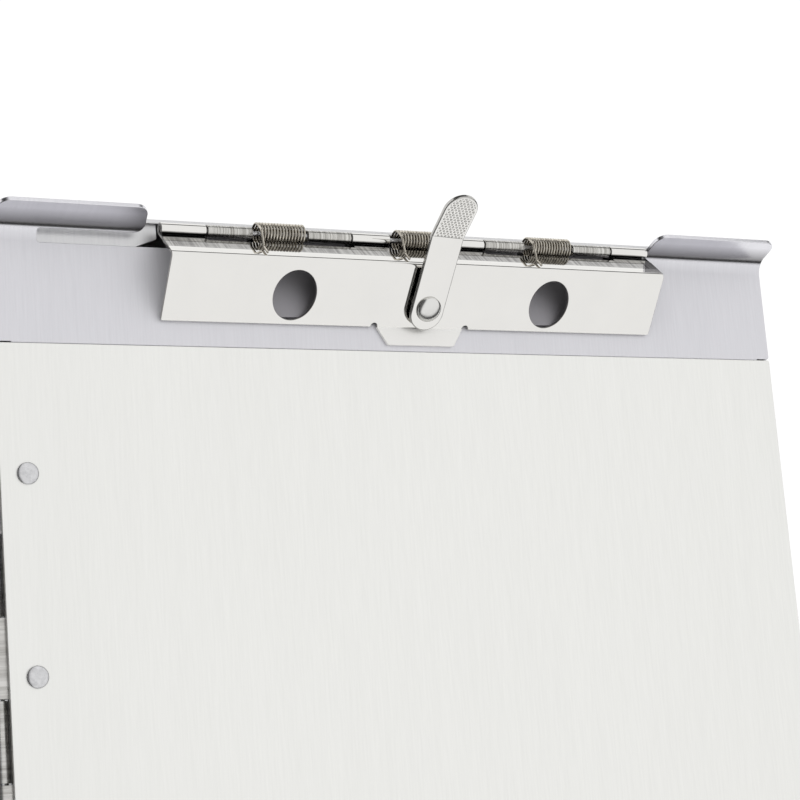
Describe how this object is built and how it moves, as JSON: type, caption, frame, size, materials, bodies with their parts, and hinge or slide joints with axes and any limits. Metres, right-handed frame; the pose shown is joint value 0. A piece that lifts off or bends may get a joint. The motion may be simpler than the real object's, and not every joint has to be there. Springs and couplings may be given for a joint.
{
  "type": "storage clipboard",
  "caption": "Aluminium clipboard with a storage tray under a side-hinged writing lid, and a sprung hinged clip with a swivelling thumb lever at its head.",
  "frame": {"origin": "centre of the tray's flat back face", "axes": "+Z out of the writing face, +Y along the board towards the clip, +X to the right"},
  "size_m": [0.2448, 0.3524, 0.0563],
  "materials": {
    "tray_aluminium": "brushed",
    "deck_aluminium": "brushed",
    "writing_aluminium": "brushed",
    "polished_steel": "polished nickel plate",
    "hinge_steel": "turned",
    "spring_steel": "drawn wire",
    "rivet_aluminium": "satin"
  },
  "bodies": {
    "tray": {"tray_pan": "tray_aluminium", "clip_deck": "deck_aluminium", "deck_rivets": "rivet_aluminium", "clip_base_plate": "hinge_steel", "base_rivets": "rivet_aluminium", "clip_hinge_pin": "hinge_steel", "clip_spring_left": "spring_steel", "clip_spring_centre": "spring_steel", "clip_spring_right": "spring_steel", "lid_hinge_tray_leaf": "hinge_steel", "lid_hinge_pin": "hinge_steel", "tray_leaf_rivets": "rivet_aluminium", "catch_spring": "spring_steel", "catch_spring_rivets": "rivet_aluminium"},
    "lid": {"lid_plate": "writing_aluminium", "lid_hinge_lid_leaf": "hinge_steel", "lid_leaf_rivets": "rivet_aluminium", "catch_tongue": "hinge_steel", "catch_tongue_rivets": "rivet_aluminium"},
    "clip": {"clip_blade": "polished_steel", "lever_rivet": "polished_steel", "lever_washer": "polished_steel"},
    "lever": {"thumb_lever": "polished_steel"}
  },
  "joints": [
    {"name": "clip_open", "type": "hinge", "parent": "tray", "child": "clip", "pos_m": [0, 0.1715, 0.0296], "axis": [-1, 0, 0], "range_deg": [0, 60], "stiffness_Nm_per_rad": 0.25, "springref_deg": -68.75, "deforming": ["clip_spring_left", "clip_spring_centre", "clip_spring_right"]},
    {"name": "lever_swivel", "type": "hinge", "parent": "clip", "child": "lever", "pos_m": [0, 0.15313, 0.03096], "axis": [0, -0.5934, 0.8049], "range_deg": [-90, 90]},
    {"name": "lid_open", "type": "hinge", "parent": "tray", "child": "lid", "pos_m": [-0.122, 0, 0.0228], "axis": [0, -1, 0], "range_deg": [0, 170]}
  ]
}
